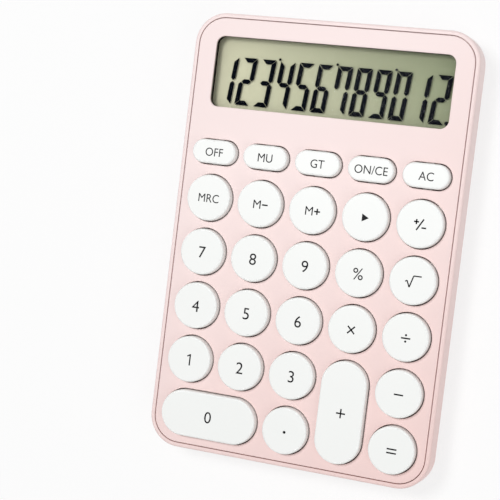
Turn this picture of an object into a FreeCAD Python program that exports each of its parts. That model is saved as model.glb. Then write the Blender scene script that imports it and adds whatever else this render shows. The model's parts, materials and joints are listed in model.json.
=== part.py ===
# A slim desk calculator: a shallow rear case, a front panel set into its rim, 28 keys that
# travel on a rubber dome mat, a twelve-digit display, a circuit board and a coin cell.
# Millimetres. X runs to the right, Y towards the display end and Z up, out of the keys.
# The origin is on the table, under the middle of the case.
import FreeCAD, Part
import math
import os
import re

import Sketcher
from FreeCAD import Placement, Rotation, Vector

SIZES = {
    # rear case
    "body_width": 102.0,
    "body_length": 153.6,
    "body_height": 13.5,
    "body_corner_radius": 11.0,
    "lower_edge_radius": 6.0,
    "rim_width": 1.5,
    "rim_edge_radius": 0.8,
    "floor_thickness": 1.8,
    "ledge_width": 0.9,
    "pillar_height": 1.4,
    "pillar_wall": 2.0,
    # rubber feet
    "foot_diameter": 9.0,
    "foot_height": 0.8,
    "foot_recess": 0.7,
    "foot_inset": 15.5,
    "foot_edge_radius": 0.3,
    # front panel
    "panel_gap": 0.3,
    "panel_thickness": 1.8,
    "panel_edge_radius": 0.25,
    "skirt_thickness": 1.0,
    "skirt_depth": 2.0,
    # keys
    "key_pitch": 19.0,
    "key_diameter": 16.1,
    "pill_length": 16.1,
    "pill_height": 8.3,
    "top_row_y": 12.0,
    "pill_row_y": 28.1,
    "key_gap": 0.4,
    "key_rise": 2.5,
    "key_travel": 1.8,
    "key_edge_radius": 0.6,
    "key_wall": 1.1,
    "key_roof": 1.5,
    "stem_diameter": 4.6,
    "stem_gap": 0.2,
    "stop_gap": 0.2,
    "lug_width": 3.0,
    "lug_reach": 0.9,
    "lug_thickness": 1.0,
    "lug_clearance": 0.3,
    "collar_wall": 1.2,
    "collar_depth": 2.4,
    # display
    "window_width": 85.6,
    "window_height": 24.7,
    "window_y": 56.4,
    "window_corner_radius": 3.0,
    "window_lip": 0.6,
    "lens_margin": 1.8,
    "lens_gap": 0.15,
    "gasket_thickness": 1.0,
    "gasket_setback": 0.1,
    "glass_margin": 2.0,
    "glass_thickness": 0.7,
    "polariser_thickness": 0.2,
    "reflector_thickness": 0.25,
    "contact_ledge": 2.4,
    "connector_width": 1.6,
    "connector_length": 76.0,
    # circuit board and dome mat
    "board_thickness": 1.6,
    "board_lift": 1.8,
    "board_edge_gap": 1.6,
    "board_end_gap": 1.0,
    "mat_thickness": 0.8,
    "dome_diameter": 10.0,
    "dome_top_diameter": 6.0,
    "dome_rise": 3.0,
    "dome_wall": 0.8,
    "pill_contact_diameter": 3.4,
    "pill_contact_thickness": 0.4,
    "chip_diameter": 12.0,
    "chip_height": 1.1,
    "capacitor_length": 3.2,
    "capacitor_width": 1.6,
    "capacitor_height": 1.0,
    "resistor_length": 2.0,
    "resistor_width": 1.25,
    "resistor_height": 0.6,
    "component_pitch": 6.0,
    "capacitor_x": -18.0,
    "resistor_x": 14.0,
    # screws
    "shank_diameter": 2.2,
    "head_diameter": 4.2,
    "head_height": 1.2,
    "head_sink": 0.3,
    "screw_clearance": 0.1,
    "recess_clearance": 0.25,
    "case_screw_length": 8.0,
    "board_screw_length": 6.0,
    "board_head_height": 1.0,
    "boss_diameter": 4.8,
    "boss_clearance": 0.6,
    "end_screw_x": 40.0,
    "cross_width": 0.7,
    "cross_length": 2.6,
    "cross_depth": 0.6,
    # battery bay and door
    "cell_diameter": 20.0,
    "cell_thickness": 3.2,
    "cell_cap_diameter": 17.0,
    "cell_cap_step": 0.4,
    "cell_gap": 0.4,
    "cell_lift": 0.2,
    "bay_y": 58.0,
    "bay_wall": 1.2,
    "bay_ledge": 1.7,
    "bay_margin": 2.5,
    "bay_roof": 1.0,
    "spring_room": 0.6,
    "door_width": 24.0,
    "door_length": 24.0,
    "door_thickness": 1.5,
    "door_gap": 0.25,
    "door_corner_radius": 2.5,
    "tab_width": 5.0,
    "tab_length": 1.0,
    "tab_thickness": 0.8,
    "tab_spacing": 12.0,
    "tab_clearance": 0.15,
    "notch_diameter": 10.0,
    "notch_depth": 1.0,
    "grip_length": 14.0,
    "grip_width": 0.8,
    "grip_pitch": 2.0,
    "grip_start": 3.0,
    "grip_depth": 0.4,
    "strip_thickness": 0.3,
    "strip_width": 4.0,
    "strip_clearance": 0.2,
    "strip_rise": 1.3,
    "contact_gap": 0.05,
    "dimple_diameter": 2.4,
    "negative_x": 5.5,
    "negative_reach": 6.0,
    "lead_diameter": 1.0,
    "lead_bend_radius": 1.3,
    "lead_end_gap": 1.4,
}

# Levels above the table
REAR = "foot_height"
FLOOR = "(foot_height + floor_thickness)"
PANEL_FACE = "(foot_height + body_height)"
PANEL_UNDER = f"({PANEL_FACE} - panel_thickness)"
BOARD_UNDER = f"({FLOOR} + board_lift)"
BOARD_TOP = f"({BOARD_UNDER} + board_thickness)"
MAT_TOP = f"({BOARD_TOP} + mat_thickness)"
DOME_TOP = f"({MAT_TOP} + dome_rise)"
MEETING = f"({FLOOR} + pillar_height)"
HEAD_SEAT = "(foot_height + head_height + head_sink)"
DOOR_TOP = "(foot_height + door_thickness)"
BAY_LEDGE_TOP = f"({DOOR_TOP} + bay_ledge)"
CELL_UNDER = f"({DOOR_TOP} + cell_lift)"
CELL_TOP = f"({CELL_UNDER} + cell_thickness)"
ROOF_UNDER = f"({CELL_TOP} + spring_room)"
ROOF_TOP = f"({ROOF_UNDER} + bay_roof)"
STRIP_TOP = f"({ROOF_TOP} + strip_rise)"
POLARISER_TOP = f"({PANEL_UNDER} - gasket_thickness)"
FRONT_GLASS_TOP = f"({POLARISER_TOP} - polariser_thickness)"
REAR_GLASS_TOP = f"({FRONT_GLASS_TOP} - glass_thickness)"
REFLECTOR_TOP = f"({REAR_GLASS_TOP} - glass_thickness)"

# Outlines and places in plan
PANEL_WIDTH = "(body_width - 2 * rim_width - 2 * panel_gap)"
PANEL_LENGTH = "(body_length - 2 * rim_width - 2 * panel_gap)"
PANEL_RADIUS = "(body_corner_radius - rim_width - panel_gap)"
CAVITY_WIDTH = f"({PANEL_WIDTH} - 2 * ledge_width)"
CAVITY_LENGTH = f"({PANEL_LENGTH} - 2 * ledge_width)"
CAVITY_RADIUS = f"({PANEL_RADIUS} - ledge_width)"
FIRST_COLUMN = "(-2 * key_pitch)"
LAST_ROW = "(top_row_y - 4 * key_pitch)"
GLASS_WIDTH = "(window_width + 2 * glass_margin)"
GLASS_HEIGHT = "(window_height + 2 * glass_margin)"
GLASS_BOTTOM = "(window_y - window_height / 2 - glass_margin)"
LEDGE_BOTTOM = f"({GLASS_BOTTOM} - contact_ledge)"
CONNECTOR_Y = f"({GLASS_BOTTOM} - contact_ledge / 2)"
PILL_COLLAR_TOP = "(pill_row_y + pill_height / 2 + key_gap + collar_wall)"
BAND_Y = f"(({PILL_COLLAR_TOP} + {LEDGE_BOTTOM}) / 2)"
WELL_DIAMETER = "(cell_diameter + 2 * cell_gap)"
TUBE_DIAMETER = f"({WELL_DIAMETER} + 2 * bay_wall)"
BOARD_WIDTH = f"({CAVITY_WIDTH} - 2 * board_edge_gap)"
BOARD_RADIUS = f"({CAVITY_RADIUS} - board_edge_gap)"
BOARD_START = f"(board_edge_gap - {CAVITY_LENGTH} / 2)"
BOARD_END = f"(bay_y - {TUBE_DIAMETER} / 2 - board_end_gap)"
MAT_END = "(pill_row_y + pill_height / 2 + key_gap)"
MAT_START = f"({LAST_ROW} - key_diameter / 2 - key_gap)"
HINGE_Y = "(bay_y - door_length / 2 + door_thickness / 2)"
HINGE_LEVEL = "(foot_height + door_thickness / 2)"
TAB_REACH = "(tab_length + door_thickness / 2)"
POSITIVE_Y = "(bay_y - cell_diameter / 2 - contact_gap - strip_thickness / 2)"
LEAD_LEVEL = f"({ROOF_TOP} + lead_diameter / 2 + contact_gap)"
LEAD_END_Y = f"({BOARD_END} - lead_end_gap)"

# Screw places: the lower case screws and board screws stand between the keys, and the
# upper ones in the band between the top row of keys and the display
UPPER_GAP_Y = "(top_row_y - key_pitch / 2)"
LOWER_GAP_Y = "(top_row_y - 2.5 * key_pitch)"
LOWER_CASE_SCREWS = [
    (x, y) for x in ("-1.5 * key_pitch", "1.5 * key_pitch") for y in (UPPER_GAP_Y, LOWER_GAP_Y)
]
CASE_SCREWS = LOWER_CASE_SCREWS + [("-end_screw_x", BAND_Y), ("end_screw_x", BAND_Y)]
LOWER_BOARD_SCREWS = [
    (x, y) for x in ("-key_pitch / 2", "key_pitch / 2") for y in (UPPER_GAP_Y, LOWER_GAP_Y)
]
BOARD_SCREWS = LOWER_BOARD_SCREWS + [("-1.5 * key_pitch", BAND_Y), ("1.5 * key_pitch", BAND_Y)]

PILL_KEYS = ["key_off", "key_mu", "key_gt", "key_on", "key_ac"]
ROUND_KEYS = [
    ["key_mrc", "key_m_minus", "key_m_plus", "key_backspace", "key_sign"],
    ["key_7", "key_8", "key_9", "key_percent", "key_root"],
    ["key_4", "key_5", "key_6", "key_multiply", "key_divide"],
    ["key_1", "key_2", "key_3", None, "key_minus"],
    [None, None, "key_point", None, "key_equals"],
]
SLANT = 45
GRIP_GROOVES = 4

doc = FreeCAD.newDocument("desk_calculator")
sheet = doc.addObject("Spreadsheet::Sheet", "Size")
for line, (alias, size) in enumerate(SIZES.items(), 1):
    sheet.set(f"A{line}", alias)
    sheet.set(f"B{line}", str(size))
    sheet.setAlias(f"B{line}", alias)
doc.recompute()


def formula(text):
    """A formula in the aliases, written as references to the sheet."""
    return re.sub(r"[a-z]\w*", lambda word: "Size." + word[0], text)


def number(text):
    """The present value of a formula."""
    return float(sheet.evalExpression(formula(text)))


def bind(target, prop, text):
    target.setExpression(prop, formula(text))


def new_body(name):
    body = doc.addObject("PartDesign::Body", name)
    body.Label = name
    return body


def origin_feature(body, role):
    return next(item for item in body.Origin.OriginFeatures if item.Role == role)


def sketch_at(body, name, x="0", y="0", z="0", turn=0, plane="XY_Plane"):
    """A sketch on one of the body's own planes, centred at a place that formulas give."""
    sketch = body.newObject("Sketcher::SketchObject", f"{body.Name}_{name}_sketch")
    sketch.AttachmentSupport = [(origin_feature(body, plane), "")]
    sketch.MapMode = "FlatFace"
    sketch.AttachmentOffset = Placement(Vector(), Rotation(Vector(0, 0, 1), turn))
    for axis, place in zip("xyz", (x, y, z)):
        bind(sketch, f"AttachmentOffset.Base.{axis}", place)
    return sketch


def constrain(sketch, constraints):
    sketch.addConstraint([Sketcher.Constraint(*items) for items in constraints])


def dimension(sketch, text, *items):
    index = sketch.addConstraint(Sketcher.Constraint(*items, number(text)))
    bind(sketch, f"Constraints[{index}]", text)


def circle(sketch, diameter):
    """A circle about the sketch's own origin."""
    rim = sketch.addGeometry(Part.Circle(Vector(), Vector(0, 0, 1), number(diameter) / 2))
    constrain(sketch, [("Coincident", rim, 3, -1, 1)])
    dimension(sketch, diameter, "Diameter", rim)


def line(sketch, start, end):
    return sketch.addGeometry(Part.LineSegment(Vector(*start), Vector(*end)))


def arc(sketch, centre, radius, start, end):
    full = Part.Circle(Vector(*centre), Vector(0, 0, 1), radius)
    return sketch.addGeometry(Part.ArcOfCircle(full, math.radians(start), math.radians(end)))


def rectangle(sketch, width, length):
    """A rectangle about the sketch's own origin."""
    x, y = number(width) / 2, number(length) / 2
    corners = [(-x, -y), (x, -y), (x, y), (-x, y)]
    sides = [line(sketch, corners[i], corners[(i + 1) % 4]) for i in range(4)]
    joins = [("Coincident", sides[i], 2, sides[(i + 1) % 4], 1) for i in range(4)]
    constrain(sketch, joins)
    constrain(sketch, [("Horizontal", sides[0]), ("Horizontal", sides[2])])
    constrain(sketch, [("Vertical", sides[1]), ("Vertical", sides[3])])
    constrain(sketch, [("Symmetric", sides[0], 1, sides[2], 1, -1, 1)])
    dimension(sketch, width, "DistanceX", sides[0], 1, sides[0], 2)
    dimension(sketch, length, "DistanceY", sides[1], 1, sides[1], 2)


def rounded_rectangle(sketch, width, length, radius):
    """A rectangle with round corners about the sketch's own origin."""
    x, y, r = number(width) / 2, number(length) / 2, number(radius)
    edges = [
        line(sketch, (r - x, -y), (x - r, -y)),
        arc(sketch, (x - r, r - y), r, -90, 0),
        line(sketch, (x, r - y), (x, y - r)),
        arc(sketch, (x - r, y - r), r, 0, 90),
        line(sketch, (x - r, y), (r - x, y)),
        arc(sketch, (r - x, y - r), r, 90, 180),
        line(sketch, (-x, y - r), (-x, r - y)),
        arc(sketch, (r - x, r - y), r, 180, 270),
    ]
    joins = [("Tangent", edges[i], 2, edges[(i + 1) % 8], 1) for i in range(8)]
    constrain(sketch, joins)
    constrain(sketch, [("Horizontal", edges[4]), ("Vertical", edges[6])])
    constrain(sketch, [("Equal", edges[i], edges[i + 2]) for i in (1, 3, 5)])
    constrain(sketch, [("Symmetric", edges[0], 1, edges[0], 2, -2)])
    constrain(sketch, [("Symmetric", edges[2], 1, edges[2], 2, -1)])
    dimension(sketch, width, "DistanceX", edges[6], 1, edges[2], 2)
    dimension(sketch, length, "DistanceY", edges[0], 1, edges[4], 1)
    dimension(sketch, radius, "Radius", edges[1])


def stadium(sketch, spacing, diameter, upright=False):
    """Two half circles joined by straight sides, about the sketch's own origin."""
    half, r = number(spacing) / 2, number(diameter) / 2
    if upright:
        edges = [
            line(sketch, (r, -half), (r, half)),
            arc(sketch, (0, half), r, 0, 180),
            line(sketch, (-r, half), (-r, -half)),
            arc(sketch, (0, -half), r, 180, 360),
        ]
    else:
        edges = [
            line(sketch, (-half, -r), (half, -r)),
            arc(sketch, (half, 0), r, -90, 90),
            line(sketch, (half, r), (-half, r)),
            arc(sketch, (-half, 0), r, 90, 270),
        ]
    joins = [("Tangent", edges[i], 2, edges[(i + 1) % 4], 1) for i in range(4)]
    constrain(sketch, joins)
    constrain(sketch, [("Vertical" if upright else "Horizontal", edges[0])])
    constrain(sketch, [("Symmetric", edges[3], 3, edges[1], 3, -1, 1)])
    apart = "DistanceY" if upright else "DistanceX"
    dimension(sketch, spacing, apart, edges[3], 3, edges[1], 3)
    dimension(sketch, diameter, "Diameter", edges[1])


def add_pad(body, name, sketch, length, down=False):
    pad = body.newObject("PartDesign::Pad", f"{body.Name}_{name}")
    pad.Profile = sketch
    pad.Reversed = down
    pad.Refine = False
    bind(pad, "Length", length)
    return pad


def add_pocket(body, name, sketch, depth, up=False):
    pocket = body.newObject("PartDesign::Pocket", f"{body.Name}_{name}")
    pocket.Profile = sketch
    pocket.Reversed = up
    pocket.Refine = False
    bind(pocket, "Length", depth)
    return pocket


def add_grid(body, feature, columns, column_pitch, rows=1, row_pitch="0"):
    """Copies of a feature along +X and, where there are rows, along +Y."""
    grid = body.newObject("PartDesign::LinearPattern", f"{feature.Name}_grid")
    grid.Originals = [feature]
    grid.Refine = False
    grid.Direction = (origin_feature(body, "X_Axis"), [""])
    grid.Occurrences = columns
    bind(grid, "Length", f"{columns - 1} * ({column_pitch})")
    if rows > 1:
        grid.Direction2 = (origin_feature(body, "Y_Axis"), [""])
        grid.Occurrences2 = rows
        bind(grid, "Length2", f"{rows - 1} * ({row_pitch})")
    body.Tip = grid
    return grid


def circles_at(body, name, diameter, level, places):
    """A sketch with the same circle at each place."""
    sketch = sketch_at(body, name, z=level)
    for x, y in places:
        centre = Vector(number(x), number(y), 0)
        rim = sketch.addGeometry(Part.Circle(centre, Vector(0, 0, 1), number(diameter) / 2))
        dimension(sketch, diameter, "Diameter", rim)
        dimension(sketch, x, "DistanceX", -1, 1, rim, 3)
        dimension(sketch, y, "DistanceY", -1, 1, rim, 3)
    return sketch


def add_fillet(body, name, base, level, radius):
    """Rounds every edge of the flat face of the last feature that lies at a level."""
    doc.recompute()
    height = number(level)
    flats = [
        f"Face{i}"
        for i, face in enumerate(base.Shape.Faces, 1)
        if face.BoundBox.ZLength < 1e-6 and abs(face.BoundBox.ZMin - height) < 1e-6
    ]
    fillet = body.newObject("PartDesign::Fillet", f"{body.Name}_{name}")
    fillet.Base = (base, flats)
    bind(fillet, "Radius", radius)
    return fillet


def key_grid(body, feature):
    return add_grid(body, feature, 5, "key_pitch", 5, "key_pitch")


# Key outlines, each a function that draws itself in a sketch, grown all round by a formula
def round_outline(sketch, grow="0"):
    circle(sketch, f"(key_diameter + 2 * ({grow}))")


def wide_outline(sketch, grow="0"):
    stadium(sketch, "key_pitch", f"(key_diameter + 2 * ({grow}))")


def tall_outline(sketch, grow="0"):
    stadium(sketch, "key_pitch", f"(key_diameter + 2 * ({grow}))", upright=True)


def pill_outline(sketch, grow="0"):
    stadium(sketch, "(pill_length - pill_height)", f"(pill_height + 2 * ({grow}))")


COLLAR_GROW = "key_gap + collar_wall"
LONG_KEYS = [
    ("wide", wide_outline, "(-1.5 * key_pitch)", LAST_ROW),
    ("tall", tall_outline, "key_pitch", f"({LAST_ROW} + key_pitch / 2)"),
]


def make_front_panel():
    """The pink panel: key collars, lug slots and screw bosses hang from its underside."""
    body = new_body("front_panel")
    sketch = sketch_at(body, "plate", z=PANEL_UNDER)
    rounded_rectangle(sketch, PANEL_WIDTH, PANEL_LENGTH, PANEL_RADIUS)
    add_pad(body, "plate", sketch, "panel_thickness")

    sketch = sketch_at(body, "skirt", z=PANEL_UNDER)
    for inset in ("panel_gap", "(panel_gap + skirt_thickness)"):
        rounded_rectangle(
            sketch,
            f"({CAVITY_WIDTH} - 2 * {inset})",
            f"({CAVITY_LENGTH} - 2 * {inset})",
            f"({CAVITY_RADIUS} - {inset})",
        )
    add_pad(body, "skirt", sketch, "skirt_depth", down=True)

    sketch = sketch_at(body, "collar", FIRST_COLUMN, LAST_ROW, PANEL_UNDER)
    round_outline(sketch, COLLAR_GROW)
    key_grid(body, add_pad(body, "collar", sketch, "collar_depth", down=True))
    for name, outline, x, y in LONG_KEYS:
        sketch = sketch_at(body, f"{name}_collar", x, y, PANEL_UNDER)
        outline(sketch, COLLAR_GROW)
        add_pad(body, f"{name}_collar", sketch, "collar_depth", down=True)
    sketch = sketch_at(body, "pill_collar", FIRST_COLUMN, "pill_row_y", PANEL_UNDER)
    pill_outline(sketch, COLLAR_GROW)
    collar = add_pad(body, "pill_collar", sketch, "collar_depth", down=True)
    add_grid(body, collar, 5, "key_pitch")

    for name, places, end in (("case_boss", CASE_SCREWS, MEETING),
                              ("board_boss", BOARD_SCREWS, BOARD_TOP)):
        sketch = circles_at(body, name, "boss_diameter", PANEL_UNDER, places)
        add_pad(body, name, sketch, f"{PANEL_UNDER} - {end}", down=True)
    case_thread = f"(case_screw_length - ({MEETING} - {HEAD_SEAT}))"
    board_thread = "(board_screw_length - board_thickness)"
    for name, places, end, thread in (("case_pilot", CASE_SCREWS, MEETING, case_thread),
                                      ("board_pilot", BOARD_SCREWS, BOARD_TOP, board_thread)):
        sketch = circles_at(body, name, "(shank_diameter + screw_clearance)", end, places)
        add_pocket(body, name, sketch, f"{thread} + 2 * screw_clearance", up=True)

    sketch = sketch_at(body, "window", y="window_y", z=PANEL_FACE)
    rounded_rectangle(sketch, "window_width", "window_height", "window_corner_radius")
    add_pocket(body, "window", sketch, "panel_thickness")
    sketch = sketch_at(body, "lens_seat", y="window_y", z=PANEL_UNDER)
    lens_outline(sketch, "lens_margin + lens_gap")
    add_pocket(body, "lens_seat", sketch, "panel_thickness - window_lip", up=True)

    hole_depth = "(panel_thickness + collar_depth)"
    sketch = sketch_at(body, "hole", FIRST_COLUMN, LAST_ROW, PANEL_FACE)
    round_outline(sketch, "key_gap")
    key_grid(body, add_pocket(body, "hole", sketch, hole_depth))
    for name, outline, x, y in LONG_KEYS:
        sketch = sketch_at(body, f"{name}_hole", x, y, PANEL_FACE)
        outline(sketch, "key_gap")
        add_pocket(body, f"{name}_hole", sketch, hole_depth)
    sketch = sketch_at(body, "pill_hole", FIRST_COLUMN, "pill_row_y", PANEL_FACE)
    pill_outline(sketch, "key_gap")
    holes = add_pocket(body, "pill_hole", sketch, hole_depth)
    holes = add_grid(body, holes, 5, "key_pitch")
    add_fillet(body, "face_edges", holes, PANEL_FACE, "panel_edge_radius")

    slot_width = "(lug_width + 2 * lug_clearance)"
    slot_grow = "(2 * key_gap + 2 * lug_reach + 2 * collar_wall)"
    sketch = sketch_at(body, "pill_slot", FIRST_COLUMN, "pill_row_y", PANEL_UNDER)
    rectangle(sketch, slot_width, f"(pill_height + {slot_grow})")
    add_grid(body, add_pocket(body, "pill_slot", sketch, "collar_depth"), 5, "key_pitch")
    sketch = sketch_at(body, "lug_slot", FIRST_COLUMN, LAST_ROW, PANEL_UNDER, turn=SLANT)
    rectangle(sketch, f"(key_diameter + {slot_grow})", slot_width)
    key_grid(body, add_pocket(body, "lug_slot", sketch, "collar_depth"))


def lens_outline(sketch, grow):
    rounded_rectangle(sketch, f"(window_width + 2 * ({grow}))",
                      f"(window_height + 2 * ({grow}))", "window_corner_radius")


def make_rear_case():
    """The tray that carries the rim, the battery bay, the screw pillars and the feet."""
    body = new_body("rear_case")
    sketch = sketch_at(body, "shell", z=REAR)
    rounded_rectangle(sketch, "body_width", "body_length", "body_corner_radius")
    shell = add_pad(body, "shell", sketch, "body_height")
    lower = add_fillet(body, "lower_edge", shell, REAR, "lower_edge_radius")
    add_fillet(body, "rim_edge", lower, PANEL_FACE, "rim_edge_radius")

    sketch = sketch_at(body, "panel_seat", z=PANEL_FACE)
    rounded_rectangle(sketch, f"({PANEL_WIDTH} + 2 * panel_gap)",
                      f"({PANEL_LENGTH} + 2 * panel_gap)", f"({PANEL_RADIUS} + panel_gap)")
    add_pocket(body, "panel_seat", sketch, "panel_thickness")
    sketch = sketch_at(body, "cavity", z=PANEL_UNDER)
    rounded_rectangle(sketch, CAVITY_WIDTH, CAVITY_LENGTH, CAVITY_RADIUS)
    cavity = add_pocket(body, "cavity", sketch, f"{PANEL_UNDER} - {FLOOR}")
    add_fillet(body, "cavity_edge", cavity, FLOOR, "lower_edge_radius - rim_width")

    pillar = "(shank_diameter + 2 * screw_clearance + 2 * pillar_wall)"
    sketch = circles_at(body, "pillar", pillar, FLOOR, CASE_SCREWS)
    add_pad(body, "pillar", sketch, "pillar_height")

    sketch = sketch_at(body, "bay_base", y="bay_y", z=FLOOR)
    rounded_rectangle(sketch, "(door_width + 2 * bay_margin)",
                      "(door_length + 2 * bay_margin)", "(door_corner_radius + bay_margin)")
    add_pad(body, "bay_base", sketch, f"{BAY_LEDGE_TOP} - {FLOOR}")
    sketch = sketch_at(body, "bay_tube", y="bay_y", z=FLOOR)
    circle(sketch, TUBE_DIAMETER)
    add_pad(body, "bay_tube", sketch, f"{ROOF_TOP} - {FLOOR}")
    sketch = sketch_at(body, "bay_well", y="bay_y", z=REAR)
    circle(sketch, WELL_DIAMETER)
    add_pocket(body, "bay_well", sketch, f"{ROOF_UNDER} - {REAR}", up=True)
    sketch = sketch_at(body, "door_seat", y="bay_y", z=REAR)
    rounded_rectangle(sketch, "(door_width + 2 * door_gap)", "(door_length + 2 * door_gap)",
                      "(door_corner_radius + door_gap)")
    add_pocket(body, "door_seat", sketch, "door_thickness", up=True)

    # The tabs swing up about the hinge line, so their slots reach past it and above it
    slot_start = f"({HINGE_Y} - {TAB_REACH} - tab_clearance)"
    slot_end = f"({HINGE_Y} + door_thickness / 2 + tab_clearance)"
    slot_floor = f"({DOOR_TOP} - tab_thickness - tab_clearance)"
    slot_roof = f"({HINGE_LEVEL} + {TAB_REACH} + door_thickness / 4)"
    sketch = sketch_at(body, "tab_slot", "-tab_spacing / 2", f"({slot_start} + {slot_end}) / 2",
                       slot_floor)
    rectangle(sketch, "(tab_width + 2 * tab_clearance)", f"({slot_end} - {slot_start})")
    slot = add_pocket(body, "tab_slot", sketch, f"{slot_roof} - {slot_floor}", up=True)
    add_grid(body, slot, 2, "tab_spacing")
    sketch = sketch_at(body, "finger_notch", y="bay_y + door_length / 2", z=REAR)
    circle(sketch, "notch_diameter")
    add_pocket(body, "finger_notch", sketch, "notch_depth", up=True)

    slot_depth = f"{ROOF_TOP} - {CELL_UNDER}"
    slot_width = "(strip_width + 2 * strip_clearance)"
    slot_breadth = "(strip_thickness + 2 * strip_clearance)"
    sketch = sketch_at(body, "positive_slot", y=POSITIVE_Y, z=CELL_UNDER)
    rectangle(sketch, slot_width, slot_breadth)
    add_pocket(body, "positive_slot", sketch, slot_depth, up=True)
    sketch = sketch_at(body, "negative_slot", "negative_x",
                       "bay_y - negative_reach + strip_thickness / 2", CELL_UNDER)
    rectangle(sketch, slot_width, slot_breadth)
    add_pocket(body, "negative_slot", sketch, slot_depth, up=True)

    for name, diameter, end in (
        ("shank_hole", "(shank_diameter + 2 * screw_clearance)", MEETING),
        ("head_recess", "(head_diameter + 2 * recess_clearance)", HEAD_SEAT),
    ):
        sketch = circles_at(body, name, diameter, REAR, CASE_SCREWS)
        add_pocket(body, name, sketch, f"{end} - {REAR}", up=True)
    sketch = sketch_at(body, "foot_seat", "foot_inset - body_width / 2",
                       "foot_inset - body_length / 2", REAR)
    circle(sketch, "foot_diameter")
    seat = add_pocket(body, "foot_seat", sketch, "foot_recess", up=True)
    foot_grid(body, seat)


def foot_grid(body, feature):
    return add_grid(body, feature, 2, "(body_width - 2 * foot_inset)",
                    2, "(body_length - 2 * foot_inset)")


def make_rubber_feet():
    body = new_body("rubber_feet")
    sketch = sketch_at(body, "foot", "foot_inset - body_width / 2",
                       "foot_inset - body_length / 2")
    circle(sketch, "foot_diameter")
    foot = add_pad(body, "foot", sketch, "foot_height + foot_recess")
    foot_grid(body, foot)
    add_fillet(body, "foot_edge", body.Tip, "0", "foot_edge_radius")


def make_key(name, x, y, outline, ends, upright_lugs=False):
    """A hollow cap with a stem at each end place and lugs that stop it under the panel."""
    body = new_body(name)
    for axis, place in zip("xyz", (x, y, PANEL_FACE)):
        bind(body, f"Placement.Base.{axis}", place)
    skirt = "(panel_thickness + stop_gap + lug_thickness)"
    stem_end = f"({DOME_TOP} + stem_gap - {PANEL_FACE})"
    sketch = sketch_at(body, "cap", z=f"-{skirt}")
    outline(sketch)
    cap = add_pad(body, "cap", sketch, f"key_rise + {skirt}")
    add_fillet(body, "top_edge", cap, "key_rise", "key_edge_radius")
    for index, (end_x, end_y) in enumerate(ends):
        turn = 0 if upright_lugs else SLANT
        sketch = sketch_at(body, f"lugs_{index}", end_x, end_y, f"-{skirt}", turn=turn)
        reach = "2 * key_gap + 2 * lug_reach"
        if upright_lugs:
            rectangle(sketch, "lug_width", f"(pill_height + {reach})")
        else:
            rectangle(sketch, f"(key_diameter + {reach})", "lug_width")
        add_pad(body, f"lugs_{index}", sketch, "lug_thickness")
    sketch = sketch_at(body, "hollow", z=f"-{skirt}")
    outline(sketch, "-key_wall")
    add_pocket(body, "hollow", sketch, f"key_rise - key_roof + {skirt}", up=True)
    for index, (end_x, end_y) in enumerate(ends):
        sketch = sketch_at(body, f"stem_{index}", end_x, end_y, stem_end)
        circle(sketch, "stem_diameter")
        add_pad(body, f"stem_{index}", sketch, f"key_rise - key_roof / 2 - {stem_end}")


def make_keys():
    middle = [("0", "0")]
    for column, name in enumerate(PILL_KEYS):
        make_key(name, f"{column - 2} * key_pitch", "pill_row_y", pill_outline, middle, True)
    for row, names in enumerate(ROUND_KEYS):
        for column, name in enumerate(names):
            if name:
                place = f"top_row_y - {row} * key_pitch"
                make_key(name, f"{column - 2} * key_pitch", place, round_outline, middle)
    half = "key_pitch / 2"
    make_key("key_0", *LONG_KEYS[0][2:], wide_outline, [(f"-{half}", "0"), (half, "0")])
    make_key("key_plus", *LONG_KEYS[1][2:], tall_outline, [("0", f"-{half}"), ("0", half)])


def make_sheet_piece(name, z, thickness, width, length, y, radius=None):
    """A flat piece of the display, with its upper face at a level."""
    body = new_body(name)
    sketch = sketch_at(body, "outline", y=y, z=z)
    if radius:
        rounded_rectangle(sketch, width, length, radius)
    else:
        rectangle(sketch, width, length)
    add_pad(body, "sheet", sketch, thickness, down=True)
    return body


def make_display():
    body = new_body("display_lens")
    sketch = sketch_at(body, "outline", y="window_y", z=PANEL_UNDER)
    lens_outline(sketch, "lens_margin")
    add_pad(body, "pane", sketch, "panel_thickness - window_lip")

    gasket = make_sheet_piece("display_gasket", PANEL_UNDER, "gasket_thickness", GLASS_WIDTH,
                              GLASS_HEIGHT, "window_y")
    sketch = sketch_at(gasket, "opening", y="window_y", z=PANEL_UNDER)
    lens_outline(sketch, "gasket_setback")
    add_pocket(gasket, "opening", sketch, "gasket_thickness")

    make_sheet_piece("lcd_polariser", POLARISER_TOP, "polariser_thickness", GLASS_WIDTH,
                     GLASS_HEIGHT, "window_y")
    make_sheet_piece("lcd_front_glass", FRONT_GLASS_TOP, "glass_thickness", GLASS_WIDTH,
                     f"({GLASS_HEIGHT} + contact_ledge)", "window_y - contact_ledge / 2")
    make_sheet_piece("lcd_rear_glass", REAR_GLASS_TOP, "glass_thickness", GLASS_WIDTH,
                     GLASS_HEIGHT, "window_y")
    make_sheet_piece("lcd_reflector", REFLECTOR_TOP, "reflector_thickness", GLASS_WIDTH,
                     GLASS_HEIGHT, "window_y")
    make_sheet_piece("lcd_connector", REAR_GLASS_TOP, f"{REAR_GLASS_TOP} - {BOARD_TOP}",
                     "connector_length", "connector_width", CONNECTOR_Y)


def make_circuit_board():
    middle = f"({BOARD_START} + {BOARD_END}) / 2"
    body = make_sheet_piece("circuit_board", BOARD_TOP, "board_thickness", BOARD_WIDTH,
                            f"({BOARD_END} - {BOARD_START})", middle, BOARD_RADIUS)
    for name, diameter, places in (
        ("boss_hole", "(boss_diameter + 2 * boss_clearance)", CASE_SCREWS),
        ("screw_hole", "(shank_diameter + 2 * screw_clearance)", BOARD_SCREWS),
    ):
        sketch = circles_at(body, name, diameter, BOARD_TOP, places)
        add_pocket(body, name, sketch, "board_thickness")


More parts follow.
